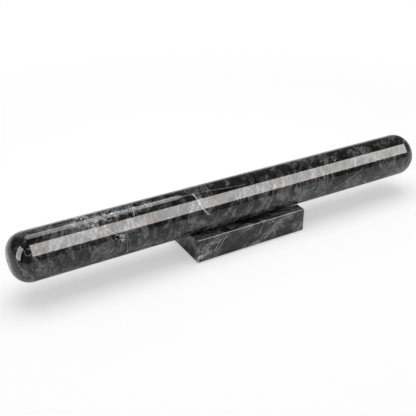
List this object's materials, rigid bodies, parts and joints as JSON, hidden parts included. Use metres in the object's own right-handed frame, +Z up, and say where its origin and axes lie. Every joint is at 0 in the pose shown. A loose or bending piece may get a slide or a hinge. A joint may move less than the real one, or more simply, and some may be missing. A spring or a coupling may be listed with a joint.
{
  "type": "marble rolling pin",
  "caption": "Polished stone rolling pin with rounded ends and no handles, resting in a grooved stone stand that it lifts out of.",
  "frame": {"origin": "under the middle of the pin, on the plane that the stand's pads rest on", "axes": "+X along the pin and the stand's groove, +Y across the stand, +Z up"},
  "size_m": [0.46, 0.053, 0.0673],
  "materials": {
    "pin_marble": "polished",
    "stand_marble": "polished",
    "pad_rubber": "matte"
  },
  "bodies": {
    "stand": {"stand": "stand_marble", "pad_front_left": "pad_rubber", "pad_front_right": "pad_rubber", "pad_back_left": "pad_rubber", "pad_back_right": "pad_rubber"},
    "pin": {"rolling_pin": "pin_marble"}
  },
  "joints": [
    {"name": "pin_lift", "type": "slide", "parent": "stand", "child": "pin", "axis": [0, 0, 1], "range_m": [0, 0.08]}
  ]
}
